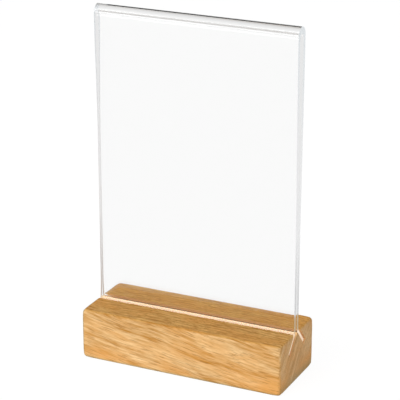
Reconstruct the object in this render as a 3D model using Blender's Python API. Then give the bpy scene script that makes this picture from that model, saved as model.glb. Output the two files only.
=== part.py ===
"""Upright sign holder: a folded sleeve of clear acrylic standing in a slotted block of oak.

Metres, +Z up. X runs along the block, Y from its front to its back.
The origin is the middle of the block's underside.
"""

import math

import bmesh
import bpy

# The printed insert that the sleeve is made for: an upright A6 sheet
INSERT_WIDTH = 0.105
INSERT_HEIGHT = 0.148
INSERT_MARGIN = 0.0003  # from the insert to each end of the sleeve
INSERT_HEADROOM = 0.0003  # from the insert, standing on the block, to the inside of the fold

# The acrylic sheet, folded over at the top and bent outwards at the bottom
SHEET = 0.002
CROWN = 0.0032  # thickness at the very top, where the tight bend has gathered the inside
FOLD_GAP = 0.0043  # between the leaves just under the fold
PINCH_GAP = 0.0013  # between the leaves where they enter the block
SPREAD_START = 0.05  # height above the block at which the leaves begin to part
BEND_LIFT = 0.00165  # height above the block at which each leaf begins to bend outwards
BEND_RADIUS = 0.0035  # on the hollow side of that bend
LEG_ANGLE = math.radians(41.5)  # each leg's slant from upright
LEG_LENGTH = 0.01  # straight part of each leg, below its bend

# The wooden block
BLOCK_OVERHANG = 0.0008  # the block is longer than the sleeve by this at each end
BLOCK_DEPTH = 0.0413
BLOCK_HEIGHT = 0.0258
BLOCK_EASING = 0.0013  # radius of the block's outer edges

# The two slanted saw cuts, measured from the legs that run in them
SLOT_SETBACK = 0.0005  # the slot's middle lies this far behind the block's middle
RIDGE_CLEARANCE = 0.0003  # between a leg and the ridge that it straddles
OUTER_CLEARANCE = 0.0013  # between a leg and the outer wall of its cut
FOOT_CLEARANCE = 0.0003  # between a leg's foot and the floor of its cut

# Fineness of the round parts
EASING_STEPS = 4
BEND_STEPS = 8
FOLD_STEPS = 20
SPREAD_STEPS = 14
CREASE_ANGLE = math.radians(30.0)  # edges of the sleeve sharper than this stay crisp
CUTTER_EXCESS = 0.001  # how far the slot's cutter runs past the block

SLEEVE_WIDTH = INSERT_WIDTH + 2 * INSERT_MARGIN
BLOCK_LENGTH = SLEEVE_WIDTH + 2 * BLOCK_OVERHANG
HALF_SHEET = SHEET / 2
HALF_PINCH = (PINCH_GAP + SHEET) / 2  # from the sleeve's middle to the middle of a leaf
HALF_FOLD = (FOLD_GAP + SHEET) / 2
# Centre of the fold's outer arc, above the block's top; its inner arc lies lower by the sag
FOLD_CENTRE = INSERT_HEIGHT + INSERT_HEADROOM + CROWN - HALF_FOLD - HALF_SHEET
INNER_SAG = CROWN - SHEET
BEND_MIDLINE = BEND_RADIUS + HALF_SHEET


def clear_scene():
    for old in list(bpy.data.objects):
        bpy.data.objects.remove(old, do_unlink=True)


def make_material(name, colour, roughness, transmission=0.0, ior=1.5):
    material = bpy.data.materials.new(name)
    material.use_nodes = True
    shader = material.node_tree.nodes["Principled BSDF"]
    shader.inputs["Base Color"].default_value = (*colour, 1.0)
    shader.inputs["Metallic"].default_value = 0.0
    shader.inputs["Roughness"].default_value = roughness
    shader.inputs["Transmission Weight"].default_value = transmission
    shader.inputs["IOR"].default_value = ior
    return material


def add_object(name, mesh, location, material=None):
    made = bpy.data.objects.new(name, mesh)
    made.location = location
    bpy.context.collection.objects.link(made)
    if material is not None:
        mesh.materials.append(material)
    return made


def extrude_profile(name, profile, length):
    """A closed (y, z) outline, drawn anticlockwise as seen from +X, made into a bar along X."""
    shape = bmesh.new()
    outline = [shape.verts.new((-length / 2, y, z)) for y, z in profile]
    start = shape.faces.new(outline)
    grown = bmesh.ops.extrude_face_region(shape, geom=[start])
    far_end = [v for v in grown["geom"] if isinstance(v, bmesh.types.BMVert)]
    bmesh.ops.translate(shape, verts=far_end, vec=(length, 0.0, 0.0))
    bmesh.ops.recalc_face_normals(shape, faces=shape.faces)
    mesh = bpy.data.meshes.new(name)
    shape.to_mesh(mesh)
    shape.free()
    return mesh


def leg_point(along, across):
    """A point of the back leg: along its slope from the end of the bend, across from its middle.

    Across is positive towards the outer, upper side of the leg. Heights count from the block's top.
    """
    bend_end_y = HALF_PINCH + BEND_MIDLINE * (1 - math.cos(LEG_ANGLE))
    bend_end_z = BEND_LIFT - BEND_MIDLINE * math.sin(LEG_ANGLE)
    y = bend_end_y + along * math.sin(LEG_ANGLE) + across * math.cos(LEG_ANGLE)
    z = bend_end_z - along * math.cos(LEG_ANGLE) + across * math.sin(LEG_ANGLE)
    return y, z


def spread(height):
    """Middle of a leaf, out from the sleeve's middle, and its slope, at a height above the block."""
    u = (height - SPREAD_START) / (FOLD_CENTRE - SPREAD_START)
    reach = HALF_FOLD - HALF_PINCH
    offset = HALF_PINCH + reach * (3 * u**2 - 2 * u**3)
    slope = reach * 6 * (u - u**2) / (FOLD_CENTRE - SPREAD_START)
    return offset, slope


def back_midline():
    """The sheet's midline from the back foot up to the fold, as (y, z, outward y, outward z)."""
    outward = (math.cos(LEG_ANGLE), math.sin(LEG_ANGLE))
    line = [(*leg_point(LEG_LENGTH, 0.0), *outward)]
    for i in range(BEND_STEPS + 1):
        turn = LEG_ANGLE * (1 - i / BEND_STEPS)
        y = HALF_PINCH + BEND_MIDLINE * (1 - math.cos(turn))
        z = BEND_LIFT - BEND_MIDLINE * math.sin(turn)
        line.append((y, z, math.cos(turn), math.sin(turn)))
    for i in range(SPREAD_STEPS):
        height = SPREAD_START + (FOLD_CENTRE - SPREAD_START) * i / SPREAD_STEPS
        offset, slope = spread(height)
        norm = math.hypot(1.0, slope)
        line.append((offset, height, 1 / norm, -slope / norm))
    return line


def fold_arc(radius, centre):
    """Half a circle over the top, from the back to the front."""
    arc = []
    for i in range(FOLD_STEPS + 1):
        turn = math.pi * i / FOLD_STEPS
        arc.append((radius * math.cos(turn), centre + radius * math.sin(turn)))
    return arc


def sleeve_profile():
    """The folded sheet's closed outline: up the outside of the back, over the fold and down the
    front, then back along the inside."""
    back = back_midline()
    front = [(-y, z, -out_y, out_z) for y, z, out_y, out_z in reversed(back)]

    def face(offset, arc_centre):
        up_back = [(y + out_y * offset, z + out_z * offset) for y, z, out_y, out_z in back]
        down_front = [(y + out_y * offset, z + out_z * offset) for y, z, out_y, out_z in front]
        return up_back + fold_arc(HALF_FOLD + offset, arc_centre) + down_front

    outside = face(HALF_SHEET, FOLD_CENTRE)
    inside = face(-HALF_SHEET, FOLD_CENTRE - INNER_SAG)
    return outside + inside[::-1]


def slot_profile():
    """The outline of both saw cuts together: down each outer wall to the floor of its cut, and up
    the ridge between them, which ends in an edge just below the block's top. Heights count from
    the block's top."""
    outer = HALF_SHEET + OUTER_CLEARANCE
    inner = -HALF_SHEET - RIDGE_CLEARANCE
    floor = LEG_LENGTH + FOOT_CLEARANCE
    floor_outer = leg_point(floor, outer)
    floor_inner = leg_point(floor, inner)
    wall_rise = CUTTER_EXCESS - floor_outer[1]
    wall_top = (floor_outer[0] - wall_rise * math.tan(LEG_ANGLE), CUTTER_EXCESS)
    ridge = (0.0, floor_inner[1] + floor_inner[0] / math.tan(LEG_ANGLE))
    back = [floor_inner, floor_outer, wall_top]
    front = [(-y, z) for y, z in reversed(back)]
    return [ridge] + back + front


def make_sleeve():
    """One hot-bent sheet. Its origin lies on the line along which it slides out of the block."""
    clear = make_material("clear_acrylic", (0.98, 0.99, 0.99), 0.03, transmission=1.0, ior=1.49)
    mesh = extrude_profile("acrylic_sleeve", sleeve_profile(), SLEEVE_WIDTH)
    add_object("acrylic_sleeve", mesh, (0.0, SLOT_SETBACK, BLOCK_HEIGHT), clear)
    mesh.shade_smooth()
    mesh.set_sharp_from_angle(angle=CREASE_ANGLE)


def make_base():
    """One block with eased edges, sawn through from end to end by the two slanted cuts."""
    oak = make_material("oiled_oak", (0.66, 0.37, 0.13), 0.5)
    shape = bmesh.new()
    bmesh.ops.create_cube(shape, size=1.0)
    bmesh.ops.scale(shape, verts=shape.verts, vec=(BLOCK_LENGTH, BLOCK_DEPTH, BLOCK_HEIGHT))
    bmesh.ops.translate(shape, verts=shape.verts, vec=(0.0, 0.0, BLOCK_HEIGHT / 2))
    mesh = bpy.data.meshes.new("wooden_base")
    shape.to_mesh(mesh)
    shape.free()
    base = add_object("wooden_base", mesh, (0.0, 0.0, 0.0), oak)

    easing = base.modifiers.new("eased_edges", "BEVEL")
    easing.width = BLOCK_EASING
    easing.segments = EASING_STEPS

    saw = extrude_profile("slot_cutter", slot_profile(), BLOCK_LENGTH + 2 * CUTTER_EXCESS)
    cutter = add_object("slot_cutter", saw, (0.0, SLOT_SETBACK, BLOCK_HEIGHT))
    cutter.hide_render = True
    cutter.display_type = "WIRE"
    cut = base.modifiers.new("slanted_cuts", "BOOLEAN")
    cut.operation = "DIFFERENCE"
    cut.solver = "EXACT"
    cut.object = cutter


clear_scene()
make_base()
make_sleeve()
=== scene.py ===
"""A small upright sign holder: a folded sleeve of clear acrylic in a slotted block of golden oak."""
import math

import bmesh
import bpy
from mathutils import Matrix, Vector


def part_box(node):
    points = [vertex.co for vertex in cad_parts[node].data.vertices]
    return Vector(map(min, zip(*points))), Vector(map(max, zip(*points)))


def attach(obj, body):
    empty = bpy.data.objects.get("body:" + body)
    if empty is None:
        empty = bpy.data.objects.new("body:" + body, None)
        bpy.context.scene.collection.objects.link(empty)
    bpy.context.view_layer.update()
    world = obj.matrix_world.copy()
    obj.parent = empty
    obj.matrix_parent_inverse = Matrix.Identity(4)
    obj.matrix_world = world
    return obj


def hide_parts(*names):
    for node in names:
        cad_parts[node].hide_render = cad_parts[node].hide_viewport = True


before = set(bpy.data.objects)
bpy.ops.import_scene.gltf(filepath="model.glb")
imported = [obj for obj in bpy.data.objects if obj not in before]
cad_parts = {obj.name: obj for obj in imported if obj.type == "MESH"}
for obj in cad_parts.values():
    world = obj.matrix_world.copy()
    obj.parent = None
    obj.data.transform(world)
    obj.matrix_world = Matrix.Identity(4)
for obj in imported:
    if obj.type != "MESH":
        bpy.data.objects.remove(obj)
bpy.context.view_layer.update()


# The block is one piece of golden oak, planed and oiled. Its outer edges are eased by hand, and two
# slanted saw cuts run through it from end to end. They are sawn after the oil, so their walls are
# raw, paler wood.
BLOCK_LOW, BLOCK_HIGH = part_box("wooden_base")
BLOCK_TOP = BLOCK_HIGH.z
BLOCK_EASING = 0.0013  # radius of the outer edges
CORNER_EASING = 0.0019  # radius at the eight corners
EASED_STRETCH = 0.005  # along each edge, in which its easing grows into the corner's
EASING_ROWS = 8  # of points across a corner's easing
SLOT_MIDDLE = 0.0005  # the slot lies this far behind the block's middle
LEG_ANGLE = math.radians(41.5)  # of both cuts, and of the legs in them, from upright
LEG_LENGTH = 0.0098
HALF_PINCH = 0.00165  # from the sleeve's middle to the middle of a leaf, at the block
BEND_LIFT = 0.0015  # a leaf begins to bend this far above the block
BEND_RADIUS = 0.0045  # of the leaf's middle line
KERF_INNER = -0.0013  # a kerf's walls, measured from the leg's middle line
KERF_OUTER = 0.0021  # of the front kerf
KERF_OUTER_BACK = 0.0016
KERF_DEPTH = LEG_LENGTH + 0.0003
SAW_OVER = 0.001  # the shape of the cuts stands this far over the block
SAW_PAST = 0.0024  # and this far past each of its ends

LAYER_SPACING = 0.0026  # between two growth layers of the oak
FIBRE_DIP, LAYER_LEAN = math.radians(9.0), math.radians(22.0)
WAVE_HEIGHT = 0.006  # how far the fibres wander to the side
STREAK_SHARE, BAND_SHARE, LAYER_SHARE = 0.46, 0.26, 0.22  # in the tone of the grain
# Middle and radius of each warmer stain: low on the front at both sides, and low on the right end
STAINS = [((-0.037, -0.02, 0.003), 0.016),
          ((0.049, -0.02, 0.002), 0.02),
          ((0.0536, 0.012, 0.005), 0.014)]
LOW_EDGE_SHADE_TINT = (0.50, 0.70, 0.82, 1.0)  # painted shade: what the greying of the lowest and the left edges leaves of the wood's colour
BACK_EDGE_SHADE_TINT = (0.45, 0.52, 0.42, 1.0)  # painted shade: what the darkening of the top's back and left edges and the back upright edges leaves of it


def place_node(tree, kind, **settings):
    """A node with its properties set by name, and its inputs by name or by number in `sockets`."""
    made = tree.nodes.new(kind)
    sockets = settings.pop("sockets", {})
    for key, value in settings.items():
        setattr(made, key, value)
    for key, value in sockets.items():
        if isinstance(value, bpy.types.NodeSocket):
            tree.links.new(value, made.inputs[key])
        else:
            made.inputs[key].default_value = value
    return made


def math_node(tree, operation, first, second=0.0, third=0.0):
    return place_node(tree, "ShaderNodeMath", operation=operation, sockets={
        0: first, 1: second, 2: third}).outputs[0]


def number_mix(tree, amount, first, second):
    return place_node(tree, "ShaderNodeMix", data_type="FLOAT", sockets={
        0: amount, 2: first, 3: second}).outputs[0]


def colour_mix(tree, amount, first, second, blend="MIX"):
    return place_node(tree, "ShaderNodeMix", data_type="RGBA", blend_type=blend, sockets={
        0: amount, 6: first, 7: second}).outputs[2]


def ranged(tree, value, low, high, to_low=0.0, to_high=1.0, curve="LINEAR"):
    """Goes from `to_low` to `to_high` as the value goes from `low` to `high`, and stays there."""
    return place_node(tree, "ShaderNodeMapRange", interpolation_type=curve, sockets={
        "Value": value, "From Min": low, "From Max": high, "To Min": to_low, "To Max": to_high}).outputs[0]


def axes(tree, vector):
    return place_node(tree, "ShaderNodeSeparateXYZ", sockets={0: vector}).outputs


def point(tree, x=0.0, y=0.0, z=0.0):
    return place_node(tree, "ShaderNodeCombineXYZ", sockets={0: x, 1: y, 2: z}).outputs[0]


def new_material(name):
    """A material, its node tree and its shader."""
    material = bpy.data.materials.new(name)
    material.use_nodes = True
    return material, material.node_tree, material.node_tree.nodes["Principled BSDF"]


def object_place(tree):
    return place_node(tree, "ShaderNodeTexCoord").outputs["Object"]


def grain_noise(tree, grain, scale, stretch, detail, roughness=0.55, shift=0.0):
    """Noise drawn out along the grain: `stretch` times as long as it is wide."""
    drawn_out = place_node(tree, "ShaderNodeMapping", sockets={
        "Vector": grain, "Location": (shift, shift, 0.0), "Scale": (1.0 / stretch, 1.0, 1.0)})
    return place_node(tree, "ShaderNodeTexNoise", sockets={
        "Vector": drawn_out.outputs[0], "Scale": scale, "Detail": detail,
        "Roughness": roughness}).outputs["Fac"]


def spot(tree, place, middle, radius):
    """1 at `middle`, falling to 0 at `radius` along the block and half of that upwards."""
    from_middle = place_node(tree, "ShaderNodeVectorMath", operation="SUBTRACT", sockets={
        0: place, 1: middle}).outputs[0]
    from_middle = place_node(tree, "ShaderNodeVectorMath", operation="MULTIPLY", sockets={
        0: from_middle, 1: (1.0 / radius, 1.0 / radius, 2.0 / radius)}).outputs[0]
    away = place_node(tree, "ShaderNodeVectorMath", operation="LENGTH", sockets={0: from_middle})
    return ranged(tree, away.outputs["Value"], 0.3, 1.0, 1.0, 0.0)


def along_grain(tree, place):
    """Places turned so that X follows the fibres and Y leads from one growth layer to the next."""
    fibre = Vector((math.cos(FIBRE_DIP), 0.0, -math.sin(FIBRE_DIP)))
    outward = Vector((0.0, math.cos(LAYER_LEAN), -math.sin(LAYER_LEAN)))
    outward = (outward - fibre * outward.dot(fibre)).normalized()
    to_grain = Matrix((fibre, outward, fibre.cross(outward))).to_euler("XYZ")
    grain = place_node(tree, "ShaderNodeMapping", sockets={
        "Vector": place, "Rotation": to_grain}).outputs[0]
    # The fibres wave by a few degrees over some centimetres
    wave = place_node(tree, "ShaderNodeTexNoise", sockets={
        "Vector": grain, "Scale": 24.0, "Detail": 1.0}).outputs["Color"]
    return place_node(tree, "ShaderNodeVectorMath", operation="MULTIPLY_ADD", sockets={
        0: wave, 1: (0.0, WAVE_HEIGHT, WAVE_HEIGHT), 2: grain}).outputs[0]


def growth_layers(tree, grain):
    """Bands of late and early wood, which bow as they run through the block."""
    seen = axes(tree, grain)
    bow = math_node(tree, "POWER", math_node(tree, "ADD", seen["Z"], 0.004), 2.0)
    bow = math_node(tree, "MULTIPLY", bow, 9.0)
    wander = grain_noise(tree, grain, 140.0, 5.0, detail=2.0)
    depth = math_node(tree, "MULTIPLY_ADD", wander, 0.003, math_node(tree, "ADD", seen["Y"], bow))
    layers = math_node(tree, "SINE", math_node(tree, "MULTIPLY", depth, 2 * math.pi / LAYER_SPACING))
    return ranged(tree, layers, -0.9, 0.5)


def end_grain(tree, block, streak):
    """The tone of the two ends, in soft bands that lean back, with little of the fibres' streaks."""
    across = math_node(tree, "MULTIPLY_ADD", block["Z"], -0.85, block["Y"])
    rings = point(tree, across, math_node(tree, "MULTIPLY", block["Z"], 0.22), block["X"])
    rings = place_node(tree, "ShaderNodeTexNoise", sockets={
        "Vector": rings, "Scale": 330.0, "Detail": 2.0, "Roughness": 0.55}).outputs["Fac"]
    rings = ranged(tree, rings, 0.33, 0.67, 0.17, 0.69)
    return math_node(tree, "MULTIPLY_ADD", streak, 0.16, rings)


def shaded_edges(tree, colour, block, at_end):
    """Painted shade greys the lowest edges and the left ones. It darkens the top's edges at the back and
    at the left, and the upright edges at the back."""
    low = ranged(tree, block["Z"], 0.0006, 0.0017, 1.0, 0.0)
    foot_of_end = ranged(tree, block["Z"], 0.001, 0.006, 0.9, 0.0)
    low = math_node(tree, "MAXIMUM", low, math_node(tree, "MULTIPLY", at_end, foot_of_end))
    left = ranged(tree, block["X"], BLOCK_LOW.x + 0.0005, BLOCK_LOW.x + 0.0013, 1.0, 0.0)
    left = math_node(tree, "MULTIPLY", left, math_node(tree, "SUBTRACT", 1.0, at_end))
    # Painted shade on the lowest edges, the foot of each end and the left edges
    low_and_left_shade = math_node(tree, "MULTIPLY", math_node(tree, "MAXIMUM", low, left), 0.7)
    colour = colour_mix(tree, low_and_left_shade, colour, LOW_EDGE_SHADE_TINT, blend="MULTIPLY")
    back = ranged(tree, block["Y"], BLOCK_HIGH.y - 0.0010, BLOCK_HIGH.y - 0.0003)
    high = ranged(tree, block["Z"], BLOCK_TOP - 0.0012, BLOCK_TOP - 0.0008)
    # Painted shade on the top's edges at the back and left, and on the upright edges at the back
    back_edge_shade = math_node(tree, "MULTIPLY", math_node(tree, "MAXIMUM", back, left), 0.75)
    back_edge_shade = math_node(tree, "MULTIPLY", back_edge_shade, math_node(tree, "MAXIMUM", high, at_end))
    return colour_mix(tree, back_edge_shade, colour, BACK_EDGE_SHADE_TINT, blend="MULTIPLY")


def oak(name, tones, roughness, gloss, relief_height, top_shade_tints=((1.0, 1.0, 1.0), (1.0, 1.0, 1.0))):
    """Oak whose fibres run along X and dip to the right, with the growth layers leaning back.

    `tones` are the colours of the late wood, the early wood, a warmer patch and the pores.
    The top's two tints are painted shade: they deepen the block's top, in front of the slot and behind it.
    """
    late, early, warm, pore, front_top_shade, back_top_shade = ((*tone, 1.0) for tone in (*tones, *top_shade_tints))
    material, tree, shader = new_material(name)
    place = object_place(tree)
    block = axes(tree, place)
    grain = along_grain(tree, place)

    # Fine streaks of fibres, broader bands, and patches a few millimetres across
    streak = ranged(tree, grain_noise(tree, grain, 1050.0, 12.0, detail=3.0, roughness=0.6), 0.37, 0.66)
    band = ranged(tree, grain_noise(tree, grain, 380.0, 10.0, detail=2.0), 0.35, 0.65)
    patch = ranged(tree, grain_noise(tree, grain, 110.0, 2.5, detail=1.0, shift=0.3), 0.42, 0.62)
    tone = math_node(tree, "MULTIPLY", band, BAND_SHARE)
    tone = math_node(tree, "MULTIPLY_ADD", streak, STREAK_SHARE, tone)
    tone = math_node(tree, "MULTIPLY_ADD", growth_layers(tree, grain), LAYER_SHARE, tone)
    at_end = ranged(tree, math_node(tree, "ABSOLUTE", block["X"]),
                    BLOCK_HIGH.x - 0.0006, BLOCK_HIGH.x - 0.0001)
    tone = number_mix(tree, at_end, tone, end_grain(tree, block, streak))
    colour = colour_mix(tree, tone, late, early)
    stain = 0.0
    for middle, radius in STAINS:
        stain = math_node(tree, "MAXIMUM", stain, spot(tree, place, middle, radius))
    stain = math_node(tree, "MULTIPLY_ADD", stain, 0.45, math_node(tree, "MULTIPLY", patch, 0.35))
    stain = math_node(tree, "MULTIPLY_ADD", at_end, 0.15, stain)
    colour = colour_mix(tree, stain, colour, warm)

    # Open pores, as short dark scratches along the fibres
    dash = ranged(tree, grain_noise(tree, grain, 2600.0, 20.0, detail=1.0), 0.57, 0.68, 0.0, 0.6)
    colour = colour_mix(tree, dash, colour, pore)

    # Painted shade: the top is darker, most of all at the back
    top = ranged(tree, block["Z"], BLOCK_TOP - 0.0009, BLOCK_TOP - 0.0001)
    tint = colour_mix(tree, ranged(tree, block["Y"], -0.002, 0.008), front_top_shade, back_top_shade)
    colour = colour_mix(tree, top, colour, tint, blend="MULTIPLY")
    # Painted shade darkens some of the edges
    tree.links.new(shaded_edges(tree, colour, block, at_end), shader.inputs["Base Color"])

    shader.inputs["Specular IOR Level"].default_value = gloss
    rough = math_node(tree, "MULTIPLY_ADD", dash, 0.25, roughness)
    tree.links.new(rough, shader.inputs["Roughness"])
    relief = math_node(tree, "MULTIPLY_ADD", dash, -1.0, math_node(tree, "MULTIPLY", streak, 0.4))
    bump = place_node(tree, "ShaderNodeBump", sockets={
        "Height": relief, "Strength": 0.6, "Distance": relief_height})
    tree.links.new(bump.outputs[0], shader.inputs["Normal"])
    return material


# The top's tints on the oiled oak are painted shade
oiled_oak = oak("oiled_oak", roughness=0.5, gloss=0.15, relief_height=0.00006,
                tones=[(0.48, 0.20, 0.018), (1.0, 0.71, 0.37), (0.80, 0.385, 0.10), (0.34, 0.15, 0.03)],
                top_shade_tints=[(0.96, 0.83, 0.52), (0.96, 0.80, 0.40)])
sawn_oak = oak("sawn_oak", roughness=0.8, gloss=0.1, relief_height=0.0001,
               tones=[(0.87, 0.525, 0.225), (0.95, 0.61, 0.29), (0.91, 0.56, 0.25), (0.82, 0.49, 0.22)])
# The clear sheet carries some light down to the cuts' raw walls
lit_wall = sawn_oak.node_tree.nodes["Principled BSDF"]
lit_wall.inputs["Emission Color"].default_value = (0.9, 0.74, 0.50, 1.0)
lit_wall.inputs["Emission Strength"].default_value = 0.025


def bar_along_x(name, outline, length):
    """A closed (y, z) outline made into a bar, with closed ends."""
    shape = bmesh.new()
    near = shape.faces.new([shape.verts.new((-length / 2, y, z)) for y, z in outline])
    grown = bmesh.ops.extrude_face_region(shape, geom=[near])
    far = [v for v in grown["geom"] if isinstance(v, bmesh.types.BMVert)]
    bmesh.ops.translate(shape, verts=far, vec=(length, 0.0, 0.0))
    bmesh.ops.recalc_face_normals(shape, faces=shape.faces)
    mesh = bpy.data.meshes.new(name)
    shape.to_mesh(mesh)
    shape.free()
    made = bpy.data.objects.new(name, mesh)
    bpy.context.scene.collection.objects.link(made)
    return made


def ease_by_hand(mesh, middle, half_size):
    """Rounds a box's edges, and its eight corners further, as sandpaper does."""
    shape = bmesh.new()
    shape.from_mesh(mesh)
    # Rows of points close to each edge, for the rounding to bend at
    rows = [CORNER_EASING * i / EASING_ROWS for i in range(1, EASING_ROWS + 1)]
    rows += [EASED_STRETCH * 0.75, EASED_STRETCH]
    for axis in range(3):
        for row in rows:
            for side in (-1, 1):
                cut, normal = middle.copy(), Vector()
                cut[axis] += side * (half_size[axis] - row)
                normal[axis] = 1.0
                bmesh.ops.bisect_plane(shape, geom=shape.verts[:] + shape.edges[:] + shape.faces[:],
                                       plane_co=cut, plane_no=normal)
    for vert in shape.verts:
        from_middle = vert.co - middle
        inward = [half_size[i] - abs(from_middle[i]) for i in range(3)]
        near = max(0.0, 1.0 - max(inward) / EASED_STRETCH)
        radius = BLOCK_EASING + (CORNER_EASING - BLOCK_EASING) * near * near * (3.0 - 2.0 * near)
        core = Vector([math.copysign(min(abs(from_middle[i]), half_size[i] - radius), from_middle[i])
                       for i in range(3)])
        vert.co = middle + core + (from_middle - core).normalized() * radius
    shape.to_mesh(mesh)
    shape.free()


def finished(piece, name):
    """The piece with its modifiers made real, as a plain mesh at the origin."""
    mesh = bpy.data.meshes.new_from_object(piece.evaluated_get(bpy.context.evaluated_depsgraph_get()))
    mesh.name = name
    made = bpy.data.objects.new(name, mesh)
    bpy.context.scene.collection.objects.link(made)
    bpy.data.objects.remove(piece)
    return made


def kerf_point(along, across):
    """Out and up from the slot's middle at the block's top, for a place in the back cut."""
    sine, cosine = math.sin(LEG_ANGLE), math.cos(LEG_ANGLE)
    return (HALF_PINCH + BEND_RADIUS * (1 - cosine) + along * sine + across * cosine,
            BEND_LIFT - BEND_RADIUS * sine - along * cosine + across * sine)


def one_cut(outer_wall):
    """The floor's two corners, and the end of the outer wall a little over the block."""
    floor_outer = kerf_point(KERF_DEPTH, outer_wall)
    mouth = (floor_outer[0] - (SAW_OVER - floor_outer[1]) * math.tan(LEG_ANGLE), SAW_OVER)
    return [kerf_point(KERF_DEPTH, KERF_INNER), floor_outer, mouth]


block_length, half_depth = BLOCK_HIGH.x - BLOCK_LOW.x, BLOCK_HIGH.y
rough_block = bar_along_x("block_blank", [
    (-half_depth, 0.0), (half_depth, 0.0), (half_depth, BLOCK_TOP), (-half_depth, BLOCK_TOP)],
    block_length)
rough_block.data.materials.append(oiled_oak)
rough_block.data.materials.append(sawn_oak)
ease_by_hand(rough_block.data, Vector((0.0, 0.0, BLOCK_TOP / 2)),
             Vector((block_length / 2, half_depth, BLOCK_TOP / 2)))

back_cut = one_cut(KERF_OUTER_BACK)
ridge_tip = (0.0, back_cut[0][1] + back_cut[0][0] / math.tan(LEG_ANGLE))
cut_outline = [ridge_tip] + back_cut + [(-y, z) for y, z in reversed(one_cut(KERF_OUTER))]
saw_cut = bar_along_x("saw_cut", [(y + SLOT_MIDDLE, z + BLOCK_TOP) for y, z in cut_outline],
                      block_length + 2 * SAW_PAST)
saw_cut.data.materials.append(sawn_oak)
sawing = rough_block.modifiers.new("saw_cuts", "BOOLEAN")
sawing.operation = "DIFFERENCE"
sawing.solver = "EXACT"
sawing.material_mode = "TRANSFER"
sawing.object = saw_cut
block = finished(rough_block, "oak_block")
bpy.data.objects.remove(saw_cut)
block.data.shade_smooth()
block.data.set_sharp_from_angle(angle=math.radians(35.0))
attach(block, "base")
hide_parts("wooden_base")


# The sleeve is one sheet of clear cast acrylic, hot-bent over a rod at the top and outwards at each
# foot. Its two ends are left as they were sawn, a little frosted. Its legs slide in the block's cuts.
SLEEVE_LOW, SLEEVE_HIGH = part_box("acrylic_sleeve")
SLEEVE_TOP = SLEEVE_HIGH.z
sleeve_sizes = {
    "Width": SLEEVE_HIGH.x - SLEEVE_LOW.x,
    "Sheet": 0.002,
    "Crown": 0.0034,  # thickness at the very top, where the bend has gathered the inside
    "Half Pinch": HALF_PINCH,
    "Half Fold": 0.00315,  # from the sleeve's middle to the middle of a leaf, just under the fold
    "Top": SLEEVE_TOP - BLOCK_TOP,  # heights count from the block's top
    "Bend Lift": BEND_LIFT,
    "Bend Radius": BEND_RADIUS,
    "Leg Angle": LEG_ANGLE,
    "Leg Length": LEG_LENGTH,
    "Left Spread Height": 0.086,  # where the leaves begin to part, at the left end
    "Right Spread Height": 0.030,
    "Left Press": 0.00045,  # the leaves are pressed this much closer together at the left end
    "Press Height": 0.007,  # above which they are pressed in full
    "Foot Easing": 0.00025,
    "Block Top": BLOCK_TOP,
    "Setback": SLOT_MIDDLE}
LEAF_CUTS = 29.0  # rows of points up each leaf
CORNER_STEPS = 24  # in each rounded corner
FOLD_MARGIN = 0.0001  # what lies higher than this under the fold's inner corner belongs to the fold
SHEET_ROWS = 41  # of points from end to end
END_EASING = 0.0002  # of the sheet's two ends, which are sawn
HAIRLINE = 0.00001  # points closer together than this are one

hairpin = bpy.data.node_groups.new("hairpin_sheet", "GeometryNodeTree")
hairpin.is_modifier = True
socket_ids = {}
for label in sleeve_sizes:
    socket = hairpin.interface.new_socket(label, in_out="INPUT", socket_type="NodeSocketFloat")
    socket_ids[label] = socket.identifier
hairpin.interface.new_socket("Geometry", in_out="OUTPUT", socket_type="NodeSocketGeometry")
size = hairpin.nodes.new("NodeGroupInput").outputs


def reckon(operation, *values):
    """One step of the hairpin's arithmetic."""
    return math_node(hairpin, operation, *values)


def pick(test, otherwise, where_true):
    return place_node(hairpin, "GeometryNodeSwitch", input_type="FLOAT", sockets={
        0: test, 1: otherwise, 2: where_true}).outputs[0]


def moved(geometry, position):
    return place_node(hairpin, "GeometryNodeSetPosition", sockets={
        "Geometry": geometry, "Position": position}).outputs[0]


# The outline's twelve points run up the outside of the back from foot to knee to corner, over the
# top and down the front, and then the same way back along the inside
index = place_node(hairpin, "GeometryNodeInputIndex").outputs[0]
along = reckon("MODULO", index, 6.0)
outside = reckon("LESS_THAN", index, 5.5)
face = reckon("MULTIPLY_ADD", outside, 2.0, -1.0)
side = reckon("MULTIPLY", face, reckon("SIGN", reckon("SUBTRACT", 2.5, along)))
from_foot = reckon("MINIMUM", along, reckon("SUBTRACT", 5.0, along))
at_foot = reckon("LESS_THAN", from_foot, 0.5)
at_corner = reckon("GREATER_THAN", from_foot, 1.5)
half_sheet = reckon("MULTIPLY", reckon("MULTIPLY", size["Sheet"], 0.5), face)
half_turn = reckon("TANGENT", reckon("MULTIPLY", size["Leg Angle"], 0.5))
leg_sine = reckon("SINE", size["Leg Angle"])
leg_cosine = reckon("COSINE", size["Leg Angle"])
bend_run = reckon("MULTIPLY", size["Bend Radius"], half_turn)
knee_z = reckon("SUBTRACT", size["Bend Lift"], bend_run)
leg_run = reckon("ADD", bend_run, size["Leg Length"])
leaf_y = reckon("ADD", size["Half Fold"], half_sheet)
foot_y = reckon("MULTIPLY_ADD", leg_run, leg_sine, size["Half Fold"])
foot_y = reckon("MULTIPLY_ADD", half_sheet, leg_cosine, foot_y)
foot_z = reckon("SUBTRACT", knee_z, reckon("MULTIPLY", leg_run, leg_cosine))
foot_z = reckon("MULTIPLY_ADD", half_sheet, leg_sine, foot_z)
knee_z = reckon("MULTIPLY_ADD", half_sheet, half_turn, knee_z)
corner_z = pick(outside, reckon("SUBTRACT", size["Top"], size["Crown"]), size["Top"])
outline_out = reckon("MULTIPLY", pick(at_foot, leaf_y, foot_y), side)
outline_up = pick(at_corner, pick(at_foot, knee_z, foot_z), corner_z)
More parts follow.
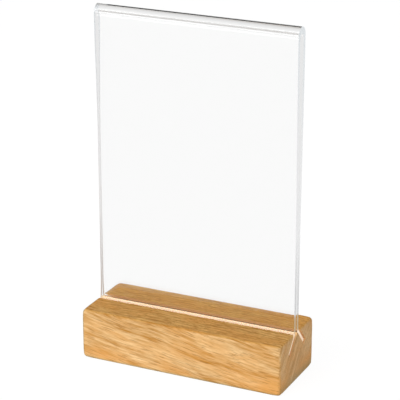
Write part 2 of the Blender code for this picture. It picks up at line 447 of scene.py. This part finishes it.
loop = place_node(hairpin, "GeometryNodeCurvePrimitiveCircle", sockets={"Resolution": 12}).outputs[0]
loop = moved(loop, point(hairpin, outline_out, outline_up))
on_leaf = reckon("COMPARE", reckon("MODULO", along, 2.0), 1.0, 0.1)
on_leaf = reckon("MULTIPLY", on_leaf, reckon("LESS_THAN", along, 4.5))
loop = place_node(hairpin, "GeometryNodeSubdivideCurve", sockets={
    "Curve": loop, "Cuts": reckon("MULTIPLY", on_leaf, LEAF_CUTS)}).outputs[0]

# Each kind of corner has its own radius: the fold's is half the gap or half the whole thickness
where = axes(hairpin, place_node(hairpin, "GeometryNodeInputPosition").outputs[0])
out, up, lengthwise = where["X"], where["Y"], where["Z"]
out_size = reckon("ABSOLUTE", out)
bend_centre = reckon("ADD", size["Bend Radius"], size["Half Fold"])
radius = reckon("SUBTRACT", bend_centre, out_size)
foot_zone = reckon("MULTIPLY", size["Leg Length"], -0.5)
radius = pick(reckon("LESS_THAN", up, foot_zone), radius, size["Foot Easing"])
radius = pick(reckon("GREATER_THAN", up, size["Bend Lift"]), radius, 0.0)
fold_zone = reckon("SUBTRACT", size["Top"], reckon("ADD", size["Crown"], FOLD_MARGIN))
radius = pick(reckon("GREATER_THAN", up, fold_zone), radius, out_size)
loop = place_node(hairpin, "GeometryNodeFilletCurve", mode="POLY", sockets={
    "Curve": loop, "Count": CORNER_STEPS, "Radius": radius}).outputs[0]
half_width = reckon("MULTIPLY", size["Width"], 0.5)
near_end = reckon("MULTIPLY", half_width, -1.0)
path = place_node(hairpin, "GeometryNodeCurvePrimitiveLine", sockets={
    "Start": point(hairpin, z=near_end), "End": point(hairpin, z=half_width)}).outputs[0]
path = place_node(hairpin, "GeometryNodeResampleCurve", sockets={
    "Curve": path, "Count": SHEET_ROWS}).outputs[0]
sheet = place_node(hairpin, "GeometryNodeCurveToMesh", sockets={
    "Curve": path, "Profile Curve": loop, "Fill Caps": True}).outputs[0]

# Below the fold the leaves lean together, from a lower height at the right end than at the left
spread_start = ranged(hairpin, lengthwise, near_end, half_width,
                      size["Left Spread Height"], size["Right Spread Height"])
fold_centre = reckon("MULTIPLY_ADD", size["Sheet"], 0.5, size["Half Fold"])
fold_centre = reckon("SUBTRACT", size["Top"], fold_centre)
pinch = reckon("SUBTRACT", size["Half Fold"], size["Half Pinch"])
closing = ranged(hairpin, up, spread_start, fold_centre, pinch, 0.0, curve="SMOOTHSTEP")
press = ranged(hairpin, lengthwise, near_end, half_width, size["Left Press"], 0.0)
above_bend = ranged(hairpin, up, size["Bend Lift"], size["Press Height"], curve="SMOOTHSTEP")
closing = reckon("ADD", closing, reckon("MULTIPLY", press, above_bend))
closed_out = reckon("SUBTRACT", out, reckon("MULTIPLY", closing, reckon("SIGN", out)))
sheet = moved(sheet, point(hairpin, lengthwise, reckon("ADD", closed_out, size["Setback"]),
                           reckon("ADD", up, size["Block Top"])))
# Where the fold's two halves meet, their last points become one
sheet = place_node(hairpin, "GeometryNodeMergeByDistance", sockets={
    "Geometry": sheet, "Distance": HAIRLINE}).outputs[0]
sheet = place_node(hairpin, "GeometryNodeRealizeInstances", sockets={0: sheet}).outputs[0]

ACRYLIC_IOR = 1.49
clear_acrylic, tree, shader = new_material("clear_acrylic")
shader.inputs["IOR"].default_value = ACRYLIC_IOR
shader.inputs["Transmission Weight"].default_value = 1.0
# A few hairline scratches from wiping, too faint to show from afar
place = object_place(tree)
turned = place_node(tree, "ShaderNodeMapping", sockets={
    "Vector": place, "Rotation": (0.0, math.radians(35.0), 0.0)}).outputs[0]
scratch = ranged(tree, grain_noise(tree, turned, 1500.0, 40.0, detail=0.0), 0.76, 0.80, 0.0, 0.08)
tree.links.new(scratch, shader.inputs["Roughness"])
# The fold catches the light from above in a pale line just under the top, and the foot of the sheet
# some warm light from the slot, just above the block
height = axes(tree, place)["Z"]
pale_line = ranged(tree, height, SLEEVE_TOP - 0.0019, SLEEVE_TOP - 0.0011, 0.14, 0.0)
pale_line = math_node(tree, "MULTIPLY", pale_line, ranged(
    tree, height, SLEEVE_TOP - 0.0035, SLEEVE_TOP - 0.0024))
near_slot = ranged(tree, height, BLOCK_TOP + 0.0002, BLOCK_TOP + 0.0011, 0.05, 0.0)
near_slot = math_node(tree, "MULTIPLY", near_slot, math_node(tree, "GREATER_THAN", height, BLOCK_TOP))
tree.links.new(math_node(tree, "ADD", pale_line, near_slot), shader.inputs["Emission Strength"])
lower_part = math_node(tree, "LESS_THAN", height, 2 * BLOCK_TOP)
tree.links.new(colour_mix(tree, lower_part, (1.0, 1.0, 1.0, 1.0), (1.0, 0.95, 0.5, 1.0)),
               shader.inputs["Emission Color"])
# Painted shade: the very top of the fold is tinted dark, for the dark line along its top
fold_top_shade = ranged(tree, height, SLEEVE_TOP - 0.0009, SLEEVE_TOP - 0.0003)
tree.links.new(colour_mix(tree, fold_top_shade, (0.972, 0.973, 0.972, 1.0), (0.48, 0.45, 0.42, 1.0)),
               shader.inputs["Base Color"])

# The sawn ends are frosted, and give out some of the light that the sheet gathers, as a painted glow.
# Their colour is painted light as well: cream at the legs, for the light of the cuts, and close to the
# block's right end the oak's colour, a painted reflection of the oak.
sawn_acrylic, tree, shader = new_material("sawn_acrylic")
place = object_place(tree)
height = axes(tree, place)["Z"]
# Painted light: cream colour and a glow where the legs are
leg_glow = ranged(tree, height, BLOCK_TOP - 0.001, BLOCK_TOP + 0.0005, 1.0, 0.0)
# Painted reflection of the oak, close to the block's right end
oak_reflection = ranged(tree, height, BLOCK_TOP + 0.0076, BLOCK_TOP + 0.0092, 1.0, 0.0)
at_right = ranged(tree, axes(tree, place)["X"], -0.01, 0.01, 0.1, 1.0)
oak_reflection = math_node(tree, "MULTIPLY", oak_reflection, at_right)
saw_marks = grain_noise(tree, place, 2500.0, 1.0, detail=2.0)
pale = colour_mix(tree, saw_marks, (0.90, 0.91, 0.92, 1.0), (0.98, 0.98, 0.98, 1.0))
pale = colour_mix(tree, oak_reflection, pale, (0.66, 0.47, 0.24, 1.0))
tree.links.new(colour_mix(tree, leg_glow, pale, (1.0, 0.84, 0.66, 1.0)), shader.inputs["Base Color"])
gathered = ranged(tree, height, 0.045, 0.075, 0.03, 0.20)
gathered = colour_mix(tree, ranged(tree, height, 0.115, 0.174), gathered, (0.125, 0.150, 0.166, 1.0))
gathered = colour_mix(tree, oak_reflection, gathered, (0.05, 0.035, 0.02, 1.0))
gathered = colour_mix(tree, leg_glow, gathered, (0.30, 0.21, 0.14, 1.0))
tree.links.new(gathered, shader.inputs["Emission Color"])
shader.inputs["Emission Strength"].default_value = 1.0
shader.inputs["IOR"].default_value = ACRYLIC_IOR
shader.inputs["Roughness"].default_value = 0.4

sheet = place_node(hairpin, "GeometryNodeSetMaterial", sockets={
    "Geometry": sheet, "Material": clear_acrylic}).outputs[0]
facing = axes(hairpin, place_node(hairpin, "GeometryNodeInputNormal").outputs[0])["X"]
at_end = reckon("GREATER_THAN", reckon("ABSOLUTE", facing), 0.5)
sheet = place_node(hairpin, "GeometryNodeSetMaterial", sockets={
    "Geometry": sheet, "Selection": at_end, "Material": sawn_acrylic}).outputs[0]
hairpin.links.new(sheet, hairpin.nodes.new("NodeGroupOutput").inputs[0])

bent_sheet = bpy.data.objects.new("bent_sheet", bpy.data.meshes.new("bent_sheet"))
bpy.context.scene.collection.objects.link(bent_sheet)
bending = bent_sheet.modifiers.new("hairpin", "NODES")
bending.node_group = hairpin
for label, value in sleeve_sizes.items():
    bending[socket_ids[label]] = value
easing = bent_sheet.modifiers.new("eased_ends", "BEVEL")
easing.width = END_EASING
easing.segments = 2
easing.material = 1
easing.limit_method = "ANGLE"
easing.angle_limit = math.radians(60.0)
easing.harden_normals = True
sleeve = finished(bent_sheet, "clear_sleeve")
sleeve.data.shade_smooth()
sleeve.data.set_sharp_from_angle(angle=math.radians(15.0))
# Clear acrylic hardly dims the light that falls on the oak, so it throws no shadow there
sleeve.visible_shadow = False
sleeve.visible_diffuse = False
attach(sleeve, "sleeve")
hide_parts("acrylic_sleeve")


# The floor is a plain pale sweep with a soft shadow. What looks at it directly, or through both leaves of
# the acrylic, sees it white; through one leaf it is a painted shade of pale grey. It bounces light as a
# pale grey.
FLOOR_SIZE = 3.0  # from its middle to each side
FLOOR_SEEN = 0.93
FLOOR_SEEN_THROUGH = 0.74


def seen_directly(tree):
    """1 for a ray from the camera, or one that the acrylic or a gloss passes on, and 0 for light."""
    path = place_node(tree, "ShaderNodeLightPath").outputs
    seen = math_node(tree, "MAXIMUM", path["Is Camera Ray"], path["Is Glossy Ray"])
    seen = math_node(tree, "MAXIMUM", seen, path["Is Transmission Ray"])
    first = math_node(tree, "LESS_THAN", path["Diffuse Depth"], 0.5)
    return math_node(tree, "MULTIPLY", seen, first)


def through_one_leaf(tree, level, one_leaf_level):
    """`level`, but `one_leaf_level` for what is seen through one leaf of the sleeve, or along it."""
    depth = place_node(tree, "ShaderNodeLightPath").outputs["Transmission Depth"]
    return number_mix(tree, math_node(tree, "COMPARE", depth, 2.0, 1.5), level, one_leaf_level)


floor_mesh = bpy.data.meshes.new("floor")
floor_mesh.from_pydata([(x * FLOOR_SIZE, y * FLOOR_SIZE, 0.0) for x, y in
                        ((-1, -1), (1, -1), (1, 1), (-1, 1))], [], [(0, 1, 2, 3)])
floor = bpy.data.objects.new("floor", floor_mesh)
bpy.context.scene.collection.objects.link(floor)
floor_paint, tree, unused_shader = new_material("pale_floor")
tree.nodes.remove(unused_shader)
bounce = place_node(tree, "ShaderNodeBsdfDiffuse", sockets={"Color": (0.8, 0.8, 0.8, 1.0)})
shadow = place_node(tree, "ShaderNodeBsdfDiffuse", sockets={"Color": (0.12, 0.12, 0.12, 1.0)})
glow = place_node(tree, "ShaderNodeEmission", sockets={
    "Color": (1.0, 1.0, 1.0, 1.0), "Strength": through_one_leaf(tree, FLOOR_SEEN, FLOOR_SEEN_THROUGH)})
shown = place_node(tree, "ShaderNodeAddShader", sockets={0: shadow.outputs[0], 1: glow.outputs[0]})
surface = place_node(tree, "ShaderNodeMixShader", sockets={
    0: seen_directly(tree), 1: bounce.outputs[0], 2: shown.outputs[0]})
tree.links.new(surface.outputs[0], tree.nodes["Material Output"].inputs[0])
floor_mesh.materials.append(floor_paint)

# The studio is a white tent, brighter at the front and darker towards its top, with one large soft
# lamp at the front left. The camera looks down on the front from the right, through a long lens.
TENT_LOW, TENT_HIGH = 0.64, 0.52  # its light at the horizon and overhead
TENT_FRONT, TENT_BACK = 1.4, 0.6  # and its share at each side
TENT_LEFT, TENT_RIGHT = 0.9, 1.1
TENT_TOP_SEEN = 0.76  # how pale its top looks in the acrylic
TENT_SEEN_THROUGH = 0.82  # and how much dimmer it is through one leaf
LAMP_AIM = Vector((0.0, 0.0, 0.06))
CAMERA_AZIMUTH, CAMERA_ELEVATION = 25.284, 20.155
CAMERA_DISTANCE = 0.8923
CAMERA_RIGHT, CAMERA_UP = 0.001517, 0.08013  # from the origin to the middle of the view
FOCAL_LENGTH = 160.67


def direction(azimuth, elevation):
    """Towards something so many degrees to the right of the front, and above level."""
    a, e = math.radians(azimuth), math.radians(elevation)
    return Vector((math.sin(a) * math.cos(e), -math.cos(a) * math.cos(e), math.sin(e)))


def soft_lamp(name, azimuth, elevation, distance, size, power):
    lamp = bpy.data.lights.new(name, "AREA")
    lamp.shape = "SQUARE"
    lamp.size = size
    lamp.energy = power
    made = bpy.data.objects.new(name, lamp)
    bpy.context.scene.collection.objects.link(made)
    away = direction(azimuth, elevation)
    made.location = LAMP_AIM + away * distance
    made.rotation_euler = away.to_track_quat("Z", "Y").to_euler()


tent = bpy.data.worlds.new("tent")
bpy.context.scene.world = tent
tent.use_nodes = True
tree = tent.node_tree
background = tree.nodes["Background"]
background.inputs["Color"].default_value = (1.0, 1.0, 1.0, 1.0)
towards = axes(tree, place_node(tree, "ShaderNodeTexCoord").outputs["Generated"])
seen_level = ranged(tree, towards["Z"], 0.25, 0.6, 1.0, TENT_TOP_SEEN, curve="SMOOTHSTEP")
dimmed_level = math_node(tree, "MULTIPLY", seen_level, TENT_SEEN_THROUGH)
seen_level = through_one_leaf(tree, seen_level, dimmed_level)
camera_ray = place_node(tree, "ShaderNodeLightPath").outputs["Is Camera Ray"]
seen_level = math_node(tree, "MAXIMUM", seen_level, camera_ray)
light_level = ranged(tree, towards["Z"], 0.0, 1.0, TENT_LOW, TENT_HIGH)
light_level = math_node(tree, "MULTIPLY", light_level, ranged(
    tree, towards["X"], -1.0, 1.0, TENT_LEFT, TENT_RIGHT))
light_level = math_node(tree, "MULTIPLY", light_level, ranged(
    tree, towards["Y"], -1.0, 1.0, TENT_FRONT, TENT_BACK))
level = number_mix(tree, seen_directly(tree), light_level, seen_level)
tree.links.new(level, background.inputs["Strength"])

soft_lamp("front_lamp", azimuth=-20.0, elevation=22.0, distance=1.1, size=0.8, power=6.1)

away = direction(CAMERA_AZIMUTH, CAMERA_ELEVATION)
right = Vector((math.cos(math.radians(CAMERA_AZIMUTH)), math.sin(math.radians(CAMERA_AZIMUTH)), 0.0))
up = away.cross(right)
lens = bpy.data.cameras.new("camera")
lens.sensor_width = 36.0
lens.lens = FOCAL_LENGTH
camera = bpy.data.objects.new("camera", lens)
camera.location = right * CAMERA_RIGHT + up * CAMERA_UP + away * CAMERA_DISTANCE
camera.rotation_euler = away.to_track_quat("Z", "Y").to_euler()
bpy.context.scene.collection.objects.link(camera)
bpy.context.scene.camera = camera
bpy.context.scene.view_settings.view_transform = "Standard"
